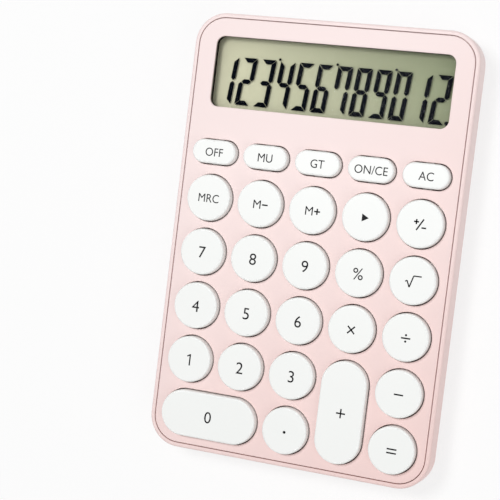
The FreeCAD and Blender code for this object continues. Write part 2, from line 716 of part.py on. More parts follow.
def add_dome_feature(body, name, kind, low, high, level, height):
    """The same cone under every key end, then under every key of the top row."""
    places = [("keys", LAST_ROW, 5), ("pills", "pill_row_y", 1)]
    for row_name, y, rows in places:
        cone = body.newObject(f"PartDesign::{kind}Cone", f"{body.Name}_{name}_{row_name}")
        cone.AttachmentSupport = [(origin_feature(body, "XY_Plane"), "")]
        cone.MapMode = "FlatFace"
        for axis, place in zip("xyz", (FIRST_COLUMN, y, level)):
            bind(cone, f"AttachmentOffset.Base.{axis}", place)
        bind(cone, "Radius1", f"({low}) / 2")
        bind(cone, "Radius2", f"({high}) / 2")
        bind(cone, "Height", height)
        add_grid(body, cone, 5, "key_pitch", rows, "key_pitch")


CAVITY_RISE = "(key_travel - stem_gap + pill_contact_thickness)"


def make_keypad_mat():
    """A silicone sheet with a hollow dome under every key."""
    body = make_sheet_piece("keypad_mat", MAT_TOP, "mat_thickness", BOARD_WIDTH,
                            f"({MAT_END} - {MAT_START})", f"({MAT_START} + {MAT_END}) / 2",
                            BOARD_RADIUS)
    add_dome_feature(body, "dome", "Additive", "dome_diameter", "dome_top_diameter",
                     MAT_TOP, "dome_rise")
    add_dome_feature(body, "hollow", "Subtractive", "dome_diameter - 2 * dome_wall",
                     "dome_top_diameter - dome_wall", BOARD_TOP, CAVITY_RISE)
    sketch = circles_at(body, "boss_hole", "(boss_diameter + 2 * boss_clearance)", MAT_TOP,
                        LOWER_CASE_SCREWS + LOWER_BOARD_SCREWS)
    add_pocket(body, "boss_hole", sketch, "mat_thickness")


def make_carbon_pills():
    """The conductive pills on the ceilings of the domes."""
    body = new_body("carbon_pills")
    for row_name, y, rows in (("keys", LAST_ROW, 5), ("pills", "pill_row_y", 1)):
        sketch = sketch_at(body, row_name, FIRST_COLUMN, y, f"{BOARD_TOP} + {CAVITY_RISE}")
        circle(sketch, "pill_contact_diameter")
        disc = add_pad(body, row_name, sketch, "pill_contact_thickness", down=True)
        add_grid(body, disc, 5, "key_pitch", rows, "key_pitch")


def make_board_parts():
    """What is soldered to the underside of the board: the chip's blob and small parts."""
    body = new_body("chip_blob")
    for axis, place in zip("xyz", ("0", "top_row_y - key_pitch", BOARD_UNDER)):
        bind(body, f"Placement.Base.{axis}", place)
    blob = body.newObject("PartDesign::AdditiveCone", "chip_blob_cone")
    blob.AttachmentSupport = [(origin_feature(body, "XY_Plane"), "")]
    blob.MapMode = "FlatFace"
    bind(blob, "AttachmentOffset.Base.z", "-chip_height")
    bind(blob, "Radius1", "chip_diameter / 4")
    bind(blob, "Radius2", "chip_diameter / 2")
    bind(blob, "Height", "chip_height")
    add_fillet(body, "crown", blob, "-chip_height", "chip_height / 2")

    for name, size in (("board_capacitors", "capacitor"), ("board_resistors", "resistor")):
        body = new_body(name)
        sketch = sketch_at(body, "row", f"{size}_x", "top_row_y - key_pitch", BOARD_UNDER)
        rectangle(sketch, f"{size}_width", f"{size}_length")
        block = add_pad(body, "row", sketch, f"{size}_height", down=True)
        add_grid(body, block, 2, "component_pitch", 2, "component_pitch")


def make_screws(name, places, seat, head_height, length):
    """Pan-head screws that point up, each with a cross recess in its head."""
    body = new_body(name)
    sketch = circles_at(body, "shank", "shank_diameter", seat, places)
    add_pad(body, "shank", sketch, length)
    sketch = circles_at(body, "head", "head_diameter", seat, places)
    add_pad(body, "head", sketch, head_height, down=True)
    for index, (x, y) in enumerate(places):
        for arm, (width, height) in enumerate([("cross_length", "cross_width"),
                                               ("cross_width", "cross_length")]):
            title = f"cross_{index}_{arm}"
            sketch = sketch_at(body, title, x, y, f"{seat} - {head_height}")
            rectangle(sketch, width, height)
            add_pocket(body, title, sketch, "cross_depth", up=True)


def make_battery_door():
    """A door that turns on the round barrel at its lower end, held there by two tabs."""
    body = new_body("battery_door")
    sketch = sketch_at(body, "plate", y="bay_y + door_thickness / 4", z=REAR)
    rounded_rectangle(sketch, "door_width", "(door_length - door_thickness / 2)",
                      "door_corner_radius")
    add_pad(body, "plate", sketch, "door_thickness")
    sketch = sketch_at(body, "barrel", HINGE_Y, HINGE_LEVEL, plane="YZ_Plane")
    circle(sketch, "door_thickness")
    barrel = add_pad(body, "barrel", sketch, "door_width - 2 * door_corner_radius")
    barrel.Midplane = True
    sketch = sketch_at(body, "tab", "-tab_spacing / 2", f"{HINGE_Y} - {TAB_REACH} / 2", DOOR_TOP)
    rectangle(sketch, "tab_width", TAB_REACH)
    add_grid(body, add_pad(body, "tab", sketch, "tab_thickness", down=True), 2, "tab_spacing")
    for index in range(GRIP_GROOVES):
        y = f"bay_y + door_length / 2 - grip_start - {index} * grip_pitch"
        sketch = sketch_at(body, f"grip_{index}", y=y, z=REAR)
        rectangle(sketch, "grip_length", "grip_width")
        add_pocket(body, f"grip_{index}", sketch, "grip_depth", up=True)


def make_coin_cell():
    body = new_body("coin_cell")
    sketch = sketch_at(body, "can", y="bay_y", z=CELL_UNDER)
    circle(sketch, "cell_diameter")
    add_pad(body, "can", sketch, "cell_thickness - cell_cap_step")
    sketch = sketch_at(body, "cap", y="bay_y", z=f"{CELL_TOP} - cell_cap_step")
    circle(sketch, "cell_cap_diameter")
    add_pad(body, "cap", sketch, "cell_cap_step")


def make_battery_contacts():
    body = new_body("battery_contact_positive")
    sketch = sketch_at(body, "strip", y=POSITIVE_Y, z=f"{CELL_UNDER} + strip_clearance")
    rectangle(sketch, "strip_width", "strip_thickness")
    add_pad(body, "strip", sketch, f"{STRIP_TOP} - {CELL_UNDER} - strip_clearance")

    body = new_body("battery_contact_negative")
    strip_length = "(negative_reach + strip_width / 2)"
    sketch = sketch_at(body, "strip", "negative_x",
                       f"bay_y + strip_width / 2 - {strip_length} / 2", ROOF_UNDER)
    rectangle(sketch, "strip_width", strip_length)
    add_pad(body, "strip", sketch, "strip_thickness", down=True)
    sketch = sketch_at(body, "tail", "negative_x",
                       "bay_y - negative_reach + strip_thickness / 2",
                       f"{ROOF_UNDER} - strip_thickness")
    rectangle(sketch, "strip_width", "strip_thickness")
    add_pad(body, "tail", sketch, f"{STRIP_TOP} - {ROOF_UNDER} + strip_thickness")
    sketch = sketch_at(body, "dimple", "negative_x", "bay_y", f"{ROOF_UNDER} - strip_thickness")
    circle(sketch, "dimple_diameter")
    add_pad(body, "dimple", sketch, "spring_room - strip_thickness - contact_gap", down=True)


def make_lead(name, x, start_y):
    """An insulated lead from a contact strip, over the bay's roof and down to the board."""
    body = new_body(name)
    path = sketch_at(body, "path", start_y, LEAD_LEVEL, x, plane="YZ_Plane")
    run = number(f"{start_y} - ({LEAD_END_Y})")
    drop = number(f"{LEAD_LEVEL} - {BOARD_TOP}")
    bend = number("lead_bend_radius")
    level = line(path, (0, 0), (bend - run, 0))
    turn = arc(path, (bend - run, -bend), bend, 90, 180)
    fall = line(path, (-run, -bend), (-run, -drop))
    constrain(path, [("Coincident", level, 1, -1, 1), ("Horizontal", level), ("Vertical", fall)])
    constrain(path, [("Tangent", level, 2, turn, 1), ("Tangent", turn, 2, fall, 1)])
    dimension(path, "lead_bend_radius", "Radius", turn)
    dimension(path, f"{start_y} - ({LEAD_END_Y})", "DistanceX", fall, 2, level, 1)
    dimension(path, f"{LEAD_LEVEL} - {BOARD_TOP}", "DistanceY", fall, 2, level, 1)
    profile = sketch_at(body, "section", x, LEAD_LEVEL, f"-({start_y})", plane="XZ_Plane")
    circle(profile, "lead_diameter")
    pipe = body.newObject("PartDesign::AdditivePipe", f"{name}_wire")
    pipe.Profile = profile
    pipe.Spine = path


def make_everything():
    make_front_panel()
    make_rear_case()
    make_rubber_feet()
    make_keys()
    make_display()
    make_circuit_board()
    make_keypad_mat()
    make_carbon_pills()
    make_board_parts()
    make_screws("case_screws", CASE_SCREWS, HEAD_SEAT, "head_height", "case_screw_length")
    make_screws("board_screws", BOARD_SCREWS, BOARD_UNDER, "board_head_height",
                "board_screw_length")
    make_battery_door()
    make_coin_cell()
    make_battery_contacts()
    make_lead("battery_lead_positive", "0", f"{POSITIVE_Y} - strip_thickness / 2")
    make_lead("battery_lead_negative", "negative_x", "bay_y - negative_reach")


def check_document():
    """Stops if any object failed, a cut removed nothing or a piece is not sound."""
    for item in doc.Objects:
        if "Invalid" in item.State or "Error" in item.State:
            raise RuntimeError(f"{item.Name} failed: {item.State}")
        cut = item.isDerivedFrom("PartDesign::Pocket")
        if cut and item.Shape.Volume >= item.BaseFeature.Shape.Volume:
            raise RuntimeError(f"{item.Name} cuts nothing")
    for body in doc.findObjects("PartDesign::Body"):
        if body.Shape.isNull() or not body.Shape.isValid() or not body.Shape.Solids:
            raise RuntimeError(f"{body.Label} has no sound solid")


make_everything()
for piece in doc.findObjects("PartDesign::Body"):
    piece.Tip.Refine = True
doc.recompute()
check_document()
os.makedirs("parts", exist_ok=True)
for piece in doc.findObjects("PartDesign::Body"):
    piece.Shape.exportStep(f"parts/{piece.Label}.step")
print(len(doc.findObjects("PartDesign::Body")), "pieces")
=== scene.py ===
# Looks for the desk calculator: a finish for every piece, the glass cell and digits of the
# display, the keypad mat with its soft domes, the printed key legends, a pale floor, soft
# light and the photograph's camera.
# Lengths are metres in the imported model's frame; MM turns drawing millimetres into metres.
import json
import math

import bpy
from mathutils import Matrix, Vector


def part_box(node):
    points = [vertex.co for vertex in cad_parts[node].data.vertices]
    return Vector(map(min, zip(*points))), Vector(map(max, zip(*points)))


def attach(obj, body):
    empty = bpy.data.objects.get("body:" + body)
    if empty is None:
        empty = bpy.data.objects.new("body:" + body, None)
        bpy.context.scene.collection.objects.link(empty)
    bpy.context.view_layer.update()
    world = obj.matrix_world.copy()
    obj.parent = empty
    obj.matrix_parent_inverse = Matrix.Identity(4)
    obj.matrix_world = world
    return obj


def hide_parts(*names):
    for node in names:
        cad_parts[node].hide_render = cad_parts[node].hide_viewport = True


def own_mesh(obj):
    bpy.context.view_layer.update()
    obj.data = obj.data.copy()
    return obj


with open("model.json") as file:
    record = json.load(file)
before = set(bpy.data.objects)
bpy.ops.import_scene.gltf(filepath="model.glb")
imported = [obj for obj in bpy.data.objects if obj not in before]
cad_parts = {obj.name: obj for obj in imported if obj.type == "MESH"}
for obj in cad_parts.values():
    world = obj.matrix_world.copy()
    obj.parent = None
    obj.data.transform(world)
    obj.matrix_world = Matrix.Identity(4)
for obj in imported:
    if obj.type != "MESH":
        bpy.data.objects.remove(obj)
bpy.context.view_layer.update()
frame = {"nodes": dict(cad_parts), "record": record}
MM = 0.001

# Where the photograph was taken from: metres, degrees, and millimetres for the lens
CAMERA_PLACE = (0.1515, 0.0164, 0.4839)
CAMERA_TURN = (0.208, 20.315, 7.427)
CAMERA_LENS = 103.9
CAMERA_NEAR = 0.01

# Room, in metres and watts. The glow is how much of the floor the camera sees as plain white,
# and the room's light is the strength that falls on the object from all round.
FLOOR_SIZE = 6.0
FLOOR_GLOW = 0.75
ROOM_LIGHT = 0.40
WINDOW_LAMP = {"place": (-0.22, 0.24, 0.94), "size": 0.30, "watts": 4.5}
FILL_LAMP = {"place": (0.6, -0.30, 0.6), "size": 0.6, "watts": 1.4}

# Finishes, in metres: the size of their patches and grain, and the depth of the grain
PATCH_SIZE = 0.03
GRAIN_SIZE = 0.0004
GRAIN_DEPTH = 4e-6
NOISE_DETAIL = 3.0

# Painted light and shade: tones that change across the object, lighter where the light falls and
# darker where it falls off. How fast each changes along the three axes, per metre, its value at
# the origin, and the share that random patches add to it
# The case is painted lighter towards the upper left and darker towards the lower right, where the
# light falls off
CASE_PAINTED_LIGHT_SLOPE = (-4.0, 4.5, 0.0)
CASE_PAINTED_LIGHT_TONE = 0.76
# The display's film is painted lighter towards the lower left and darker towards the upper right:
# a painted reflection, and light painted in where the window's walls shade it
FILM_PAINTED_LIGHT_SLOPE = (-9.0, -5.0, 0.0)
FILM_PAINTED_LIGHT_TONE = 0.78
PATCH_SHARE = 0.15

# How finely round and bevelled edges are divided, and how far down a face must look to count
# as an underside
ROUND_SIDES = 40
DOT_SIDES = 32
CORNER_STEPS = 8
EDGE_STEPS = 2
TYPE_STEPS = 6
UNDERSIDE_LIMIT = -0.9

# Key legends in millimetres: words and figures set in type, and signs made of strokes
WORD_HEIGHT = 2.9
WORD_WIDTH_SHARE = 0.93
FIGURE_HEIGHT = 4.0
LEGEND_SHIFT = (0.2, -0.2)
WORDS = {"key_off": "OFF", "key_mu": "MU", "key_gt": "GT", "key_on": "ON/CE", "key_ac": "AC",
         "key_mrc": "MRC"}
FIGURES = {f"key_{figure}": figure for figure in "023456789"} | {"key_percent": "%"}
INK_STROKE = 0.5
FLAG_STROKE = 0.45
FINE_STROKE = 0.42
INK_THICKNESS = 0.02
SIGN_SIZE = 3.2
TIMES_SIZE = 2.5
EQUALS_SIZE = 3.4
EQUALS_SPACING = 1.3
DIVIDE_DOT = 0.75
POINT_DOT = 1.0
POINT_PLACE = (0.0, -0.2)
ROOT_CORNERS = ((-2.6, -0.2), (-2.0, 0.2), (-1.05, -2.0), (0.1, 1.9), (2.8, 1.9))
MEMORY_SIGN_SIZE = 2.1
MEMORY_LETTER_X = -0.9
MEMORY_SIGN_X = 2.0

# Keypad mat, in millimetres: heights are above the circuit board, and the case's pillars are
# placed from the frame's origin
KEY_PITCH = 19.0
MAT_THICKNESS = 0.8
MAT_CORNER_RADIUS = 3.0
DOME_FOOT = 10.0
DOME_CROWN = 6.0
DOME_RISE = 3.0
DOME_WALL = 0.8
DOME_CAVITY = 2.0
DOME_CAVITY_CROWN = 5.2
DOME_EDGE = 0.25
BOSS_HOLE = 6.0
BOSS_COLUMNS = (-28.5, -9.5, 9.5, 28.5)
BOSS_ROWS = (2.5, -35.5)

# Display, in millimetres: the glass cell's edges, and the box of one digit before it is slanted,
# with its tick from the upper left corner and the point from the lower right one
GLASS_EDGE = 0.08
SHOWN_NUMBER = "123456789012"
LIT_SEGMENTS = {"0": "abcdef", "1": "bc", "2": "abged", "3": "abgcd", "4": "fgbc",
                "5": "afgcd", "6": "afgecd", "7": "fabc", "8": "abcdefg", "9": "abcdfg"}
TICKED_DIGITS = (3, 6, 9)
DIGIT_WIDTH = 5.35
DIGIT_HEIGHT = 16.6
DIGIT_PITCH = 6.98
FIRST_DIGIT_X = -42.0
DIGIT_BOTTOM_Y = 45.55
DIGIT_SLANT = math.radians(5.5)
SEGMENT_STROKE = 1.58
SEGMENT_GAP = 0.16
SEGMENT_THICKNESS = 0.02
TICK_PLACE = (-0.5, 0.4)
TICK_DOT = 0.9
LAST_POINT_PLACE = (1.0, 0.7)
LAST_POINT_DOT = 1.4


def paint(red, green, blue):
    """A colour given in screen values, 0 to 255, as the linear values of a shader."""
    shares = [value / 255 for value in (red, green, blue)]
    linear = [s / 12.92 if s <= 0.04045 else ((s + 0.055) / 1.055) ** 2.4 for s in shares]
    return (*linear, 1.0)


# Shader pieces
def cloud(tree, patch):
    """Noise fixed to the piece, with patches about as large as given."""
    place = tree.nodes.new("ShaderNodeTexCoord")
    texture = tree.nodes.new("ShaderNodeTexNoise")
    texture.inputs["Scale"].default_value = 1 / patch
    texture.inputs["Detail"].default_value = NOISE_DETAIL
    tree.links.new(place.outputs["Object"], texture.inputs["Vector"])
    return texture.outputs["Fac"]


def colour_between(tree, share, low, high):
    ramp = tree.nodes.new("ShaderNodeValToRGB")
    ramp.color_ramp.elements[0].color = low
    ramp.color_ramp.elements[1].color = high
    tree.links.new(share, ramp.inputs["Fac"])
    return ramp.outputs["Color"]


def number_between(tree, share, low, high):
    spread = tree.nodes.new("ShaderNodeMapRange")
    spread.inputs["To Min"].default_value = low
    spread.inputs["To Max"].default_value = high
    tree.links.new(share, spread.inputs["Value"])
    return spread.outputs["Result"]


def sum_of(tree, first, second, share=1.0):
    """A share of one value plus a second value, which may be a plain number."""
    total = tree.nodes.new("ShaderNodeMath")
    total.operation = "MULTIPLY_ADD"
    tree.links.new(first, total.inputs[0])
    total.inputs[1].default_value = share
    if isinstance(second, float):
        total.inputs[2].default_value = second
    else:
        tree.links.new(second, total.inputs[2])
    return total.outputs["Value"]


def painted_light_drift(tree, slope, tone):
    """Painted light and shade: a tone that changes evenly along a slope, and a little in patches.
    """
    place = tree.nodes.new("ShaderNodeTexCoord")
    along = tree.nodes.new("ShaderNodeVectorMath")
    along.operation = "DOT_PRODUCT"
    along.inputs[1].default_value = slope
    tree.links.new(place.outputs["Object"], along.inputs[0])
    patches = sum_of(tree, cloud(tree, PATCH_SIZE), tone - PATCH_SHARE / 2, PATCH_SHARE)
    return sum_of(tree, along.outputs["Value"], patches)


def finish(name, low, high, roughness, patch=PATCH_SIZE, grain=GRAIN_SIZE, depth=GRAIN_DEPTH,
           metallic=0.0, specular=0.5, slope=None, tone=0.5):
    """A surface with a fine grain in its gloss and relief.

    Its colour goes from low to high in patches or, where a slope is given, across the object
    as painted light and shade.
    """
    material = bpy.data.materials.new(name)
    material.use_nodes = True
    tree = material.node_tree
    shader = tree.nodes["Principled BSDF"]
    shader.inputs["Metallic"].default_value = metallic
    shader.inputs["Specular IOR Level"].default_value = specular
    share = painted_light_drift(tree, slope, tone) if slope else cloud(tree, patch)
    tree.links.new(colour_between(tree, share, low, high), shader.inputs["Base Color"])
    grains = cloud(tree, grain)
    tree.links.new(number_between(tree, grains, *roughness), shader.inputs["Roughness"])
    bump = tree.nodes.new("ShaderNodeBump")
    bump.inputs["Distance"].default_value = depth
    tree.links.new(grains, bump.inputs["Height"])
    tree.links.new(bump.outputs["Normal"], shader.inputs["Normal"])
    return material


def clear(name, low, high, roughness, alpha):
    """A see-through pane that keeps a little of its own colour and gloss."""
    material = finish(name, low, high, roughness, patch=0.02, grain=0.01, depth=1e-7,
                      specular=0.2)
    shader = material.node_tree.nodes["Principled BSDF"]
    shader.inputs["Alpha"].default_value = alpha
    return material


def make_finishes():
    """One finish for each material slot of the record."""
    return {
        # Painted light on the case: lighter towards the upper left, darker towards the lower right
        "case_plastic": finish("pink_plastic_painted_light", paint(242, 208, 203),
                               paint(248, 229, 227), (0.42, 0.5), slope=CASE_PAINTED_LIGHT_SLOPE,
                               tone=CASE_PAINTED_LIGHT_TONE),
        "key_plastic": finish("white_key_plastic", paint(247, 249, 247),
                              paint(251, 252, 250), (0.36, 0.44), grain=0.0003, depth=2e-6),
        "lens_acrylic": clear("clear_lens_acrylic", paint(20, 22, 20), paint(28, 30, 28),
                              (0.03, 0.06), 0.015),
        "gasket_foam": finish("black_gasket_foam", paint(16, 10, 9), paint(26, 18, 16),
                              (0.8, 0.95), grain=0.0002, depth=2e-5, specular=0.1),
        "polariser_film": clear("polariser_film", paint(150, 155, 120), paint(160, 166, 130),
                                (0.2, 0.3), 0.1),
        "display_glass": clear("display_glass", paint(30, 36, 28), paint(40, 46, 36),
                               (0.04, 0.08), 0.012),
        # Painted light and reflection on the film: lighter towards the lower left, darker towards
        # the upper right
        "reflector_film": finish("grey_green_reflector_painted_light", paint(130, 139, 109),
                                 paint(210, 208, 184), (0.69, 0.75), metallic=0.8,
                                 slope=FILM_PAINTED_LIGHT_SLOPE, tone=FILM_PAINTED_LIGHT_TONE),
        "connector_rubber": finish("striped_connector_rubber", paint(120, 120, 124),
                                   paint(196, 196, 200), (0.6, 0.75), patch=0.0006),
        "board_laminate": finish("green_board_laminate", paint(22, 84, 46), paint(36, 116, 66),
                                 (0.28, 0.42), patch=0.004, grain=0.0006),
        "silicone": finish("pale_pink_silicone", paint(236, 210, 206), paint(244, 222, 218),
                           (0.5, 0.62), grain=0.0005),
        "carbon_rubber": finish("carbon_rubber", paint(18, 18, 19), paint(34, 34, 36),
                                (0.7, 0.85), patch=0.001, grain=0.0002),
        "chip_epoxy": finish("black_chip_epoxy", paint(10, 10, 11), paint(20, 20, 22),
                             (0.16, 0.28), patch=0.006, grain=0.002),
        "capacitor_ceramic": finish("tan_ceramic", paint(150, 116, 78), paint(176, 140, 98),
                                    (0.5, 0.65), patch=0.002),
        "resistor_ceramic": finish("black_ceramic", paint(24, 24, 26), paint(44, 44, 48),
                                   (0.45, 0.6), patch=0.001),
        "screw_steel": finish("zinc_plated_steel", paint(190, 190, 192), paint(214, 214, 216),
                              (0.24, 0.38), patch=0.003, metallic=1.0),
        "cell_steel": finish("nickel_plated_cell", paint(198, 198, 196), paint(216, 216, 214),
                             (0.2, 0.32), patch=0.008, metallic=1.0),
        "contact_nickel": finish("nickel_contact_strip", paint(200, 196, 188),
                                 paint(216, 212, 204), (0.22, 0.34), patch=0.004, metallic=1.0),
        "lead_red": finish("red_lead_insulation", paint(168, 28, 26), paint(190, 40, 36),
                           (0.4, 0.5), patch=0.004),
        "lead_black": finish("black_lead_insulation", paint(22, 22, 23), paint(34, 34, 36),
                             (0.4, 0.5), patch=0.004),
        "foot_rubber": finish("grey_foot_rubber", paint(150, 146, 146), paint(166, 162, 162),
                              (0.7, 0.85), patch=0.004, depth=1e-5),
    }


def dress_nodes(finishes):
    for part in frame["record"]["subparts"]:
        mesh = frame["nodes"][part["node"]].data
        mesh.materials.clear()
        mesh.materials.append(finishes[part["material_slot"]])


# Modelling steps
def start_clean():
    if bpy.context.object and bpy.context.object.mode != "OBJECT":
        bpy.ops.object.mode_set(mode="OBJECT")
    bpy.ops.object.select_all(action="DESELECT")


def select_only(pieces):
    start_clean()
    for piece in pieces:
        piece.select_set(True)
    bpy.context.view_layer.objects.active = pieces[0]


def apply_modifiers(piece):
    select_only([piece])
    for modifier in list(piece.modifiers):
        bpy.ops.object.modifier_apply(modifier=modifier.name)


def settle(piece):
    """Moves a piece's place, turn and size into its mesh."""
    select_only([piece])
    bpy.ops.object.transform_apply(location=True, rotation=True, scale=True)


def join(pieces, name):
    """One piece made of several, with its faces turned outwards."""
    select_only(pieces)
    if len(pieces) > 1:
        bpy.ops.object.join()
    piece = bpy.context.object
    settle(piece)
    bpy.ops.object.mode_set(mode="EDIT")
    bpy.ops.mesh.select_all(action="SELECT")
    bpy.ops.mesh.normals_make_consistent(inside=False)
    bpy.ops.object.mode_set(mode="OBJECT")
    piece.name = name
    piece.data.name = name
    return piece


def copy_of(piece):
    twin = piece.copy()
    twin.data = piece.data.copy()
    bpy.context.collection.objects.link(twin)
    return twin


def select_faces(piece, wanted):
    """Enters edit mode with only the wanted faces selected."""
    select_only([piece])
    bpy.ops.object.mode_set(mode="EDIT")
    bpy.ops.mesh.select_mode(type="FACE")
    bpy.ops.mesh.select_all(action="DESELECT")
    bpy.ops.object.mode_set(mode="OBJECT")
    for face in piece.data.polygons:
        face.select = wanted(face)
    bpy.ops.object.mode_set(mode="EDIT")


def extrude(rise):
    bpy.ops.mesh.extrude_region_move(TRANSFORM_OT_translate={"value": (0, 0, rise * MM)})


def is_underside(face):
    return face.normal.z < UNDERSIDE_LIMIT


def round_edges(piece, width):
    """Rounds the sharp edges of a piece by a width in millimetres."""
    edge = piece.modifiers.new("round_edges", "BEVEL")
    edge.width = width * MM
    edge.segments = EDGE_STEPS
    edge.limit_method = "ANGLE"
    apply_modifiers(piece)


def flat_bar(x_low, x_high, y_low, y_high):
    """A flat rectangle, square to the axes, in drawing millimetres."""
    start_clean()
    bpy.ops.mesh.primitive_plane_add(size=1, location=((x_low + x_high) / 2 * MM,
                                                       (y_low + y_high) / 2 * MM, 0))
    bar = bpy.context.object
    bar.scale = ((x_high - x_low) * MM, (y_high - y_low) * MM, 1)
    settle(bar)
    return bar


def flat_dot(x, y, diameter):
    """A flat disc in drawing millimetres."""
    start_clean()
    bpy.ops.mesh.primitive_circle_add(vertices=DOT_SIDES, radius=diameter / 2 * MM,
                                      fill_type="NGON", location=(x * MM, y * MM, 0))
    dot = bpy.context.object
    settle(dot)
    return dot


def cut_away(piece, point, towards):
    """Cuts off the part of a flat piece that lies past a point, in a direction."""
    select_only([piece])
    normal = Vector((*towards, 0)).normalized()
    bpy.ops.object.mode_set(mode="EDIT")
    bpy.ops.mesh.select_all(action="SELECT")
    bpy.ops.mesh.bisect(plane_co=(point[0] * MM, point[1] * MM, 0), plane_no=normal,
                        clear_outer=True)
    bpy.ops.object.mode_set(mode="OBJECT")


def thicken(piece, thickness):
    """Gives a flat piece a thickness, half above and half below."""
    wall = piece.modifiers.new("thickness", "SOLIDIFY")
    wall.thickness = thickness * MM
    wall.offset = 0
    apply_modifiers(piece)


# Display
def digit_segments():
    """The seven segments of one digit, as flat pieces in the digit's own box."""
    width, height, thick, gap = DIGIT_WIDTH, DIGIT_HEIGHT, SEGMENT_STROKE, SEGMENT_GAP
    middle = height / 2
    top = flat_bar(0, width, height - thick, height)
    cut_away(top, (gap, height), (-1, -1))
    cut_away(top, (width - gap, height), (1, -1))
    upper_left = flat_bar(0, thick, middle, height)
    cut_away(upper_left, (0, height - gap), (1, 1))
    for side in (1, -1):
        cut_away(upper_left, (thick / 2, middle + gap), (side, -1))
    centre = flat_bar(0, width, middle - thick / 2, middle + thick / 2)
    for slope in (1, -1):
        cut_away(centre, (thick / 2 + gap, middle), (-1, slope))
        cut_away(centre, (width - thick / 2 - gap, middle), (1, slope))

    left_right = Matrix.Translation((width * MM, 0, 0)) @ Matrix.Diagonal((-1, 1, 1, 1))
    up_down = Matrix.Translation((0, height * MM, 0)) @ Matrix.Diagonal((1, -1, 1, 1))
    places = {"a": (top, Matrix()), "d": (top, up_down), "g": (centre, Matrix()),
              "f": (upper_left, Matrix()), "b": (upper_left, left_right),
              "e": (upper_left, up_down), "c": (upper_left, left_right @ up_down)}
    segments = {}
    for letter, (model, mirror) in places.items():
        segments[letter] = copy_of(model)
        segments[letter].data.transform(mirror)
    for model in (top, upper_left, centre):
        bpy.data.objects.remove(model)
    return segments


def make_digits(ink):
    """The shown number in slanted segments, between the two glasses of the display."""
    segments = digit_segments()
    pieces = []
    for index, figure in enumerate(SHOWN_NUMBER):
        lit = [copy_of(segments[letter]) for letter in LIT_SEGMENTS[figure]]
        if index in TICKED_DIGITS:
            lit.append(flat_dot(TICK_PLACE[0], DIGIT_HEIGHT + TICK_PLACE[1], TICK_DOT))
        for piece in lit:
            piece.data.transform(Matrix.Translation((index * DIGIT_PITCH * MM, 0, 0)))
        pieces += lit
    last_corner = (len(SHOWN_NUMBER) - 1) * DIGIT_PITCH + DIGIT_WIDTH
    pieces.append(flat_dot(last_corner + LAST_POINT_PLACE[0], LAST_POINT_PLACE[1], LAST_POINT_DOT))
    for segment in segments.values():
        bpy.data.objects.remove(segment)

    digits = join(pieces, "lcd_digits")
    slant = Matrix.Identity(4)
    slant[0][1] = math.tan(DIGIT_SLANT)
    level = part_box("lcd_rear_glass")[1].z
    place = Matrix.Translation((FIRST_DIGIT_X * MM, DIGIT_BOTTOM_Y * MM, level))
    thicken(digits, SEGMENT_THICKNESS)
    digits.data.transform(place @ slant)
    digits.data.materials.clear()
    digits.data.materials.append(ink)
    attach(digits, "housing")


def make_cell(glass):
    """The bonded glass sandwich of the display: one clear block with its contact ledge.

    Its underside is bonded into the reflector film, so that no light is lost between them.
    """
    front_low, front_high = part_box("lcd_front_glass")
    rear_low, rear_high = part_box("lcd_rear_glass")
    reflector_low, reflector_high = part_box("lcd_reflector")
    bond_level = (reflector_low.z + reflector_high.z) / 2
    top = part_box("lcd_polariser")[1].z
    start_clean()
    bpy.ops.mesh.primitive_cube_add(size=1)
    cell = bpy.context.object
    cell.location = ((front_low.x + front_high.x) / 2, (front_low.y + front_high.y) / 2,
                     (front_low.z + top) / 2)
    cell.scale = (front_high.x - front_low.x, front_high.y - front_low.y, top - front_low.z)
    settle(cell)

    bpy.ops.object.mode_set(mode="EDIT")
    bpy.ops.mesh.select_all(action="SELECT")
    bpy.ops.mesh.bisect(plane_co=(0, rear_low.y, 0), plane_no=(0, 1, 0))
    bpy.ops.object.mode_set(mode="OBJECT")
    select_faces(cell, lambda face: is_underside(face) and face.center.y > rear_low.y)
    extrude((bond_level - rear_high.z) / MM)
    bpy.ops.object.mode_set(mode="OBJECT")
    round_edges(cell, GLASS_EDGE)
    cell = join([cell], "lcd_cell")
    cell.data.materials.append(glass)
    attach(cell, "housing")
    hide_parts("lcd_polariser", "lcd_front_glass", "lcd_rear_glass")


# Keypad mat
def make_dome():
    """One rubber dome: a blunt cone on a flat foot, hollow from below."""
    start_clean()
    bpy.ops.mesh.primitive_cone_add(vertices=ROUND_SIDES, radius1=DOME_FOOT / 2 * MM,
                                    radius2=DOME_CROWN / 2 * MM, depth=DOME_RISE * MM,
                                    location=(0, 0, (MAT_THICKNESS + DOME_RISE / 2) * MM))
    dome = bpy.context.object
    settle(dome)
    select_faces(dome, is_underside)
    extrude(-MAT_THICKNESS)
    bpy.ops.mesh.inset(thickness=DOME_WALL * MM)
    extrude(DOME_CAVITY)
    narrow = DOME_CAVITY_CROWN / (DOME_FOOT - 2 * DOME_WALL)
    bpy.ops.transform.resize(value=(narrow, narrow, 1), center_override=(0, 0, DOME_CAVITY * MM))
    bpy.ops.object.mode_set(mode="OBJECT")
    round_edges(dome, DOME_EDGE)
    return dome


def key_ends(key):
    """The places of a key's domes in plan: one in the middle, or one at each end."""
    low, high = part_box(key)
    places = [((low.x + high.x) / 2, (low.y + high.y) / 2)]
    step = KEY_PITCH / 2 * MM
    if high.x - low.x > KEY_PITCH * MM:
        places = [(x + side * step, y) for x, y in places for side in (-1, 1)]
    if high.y - low.y > KEY_PITCH * MM:
        places = [(x, y + side * step) for x, y in places for side in (-1, 1)]
    return places


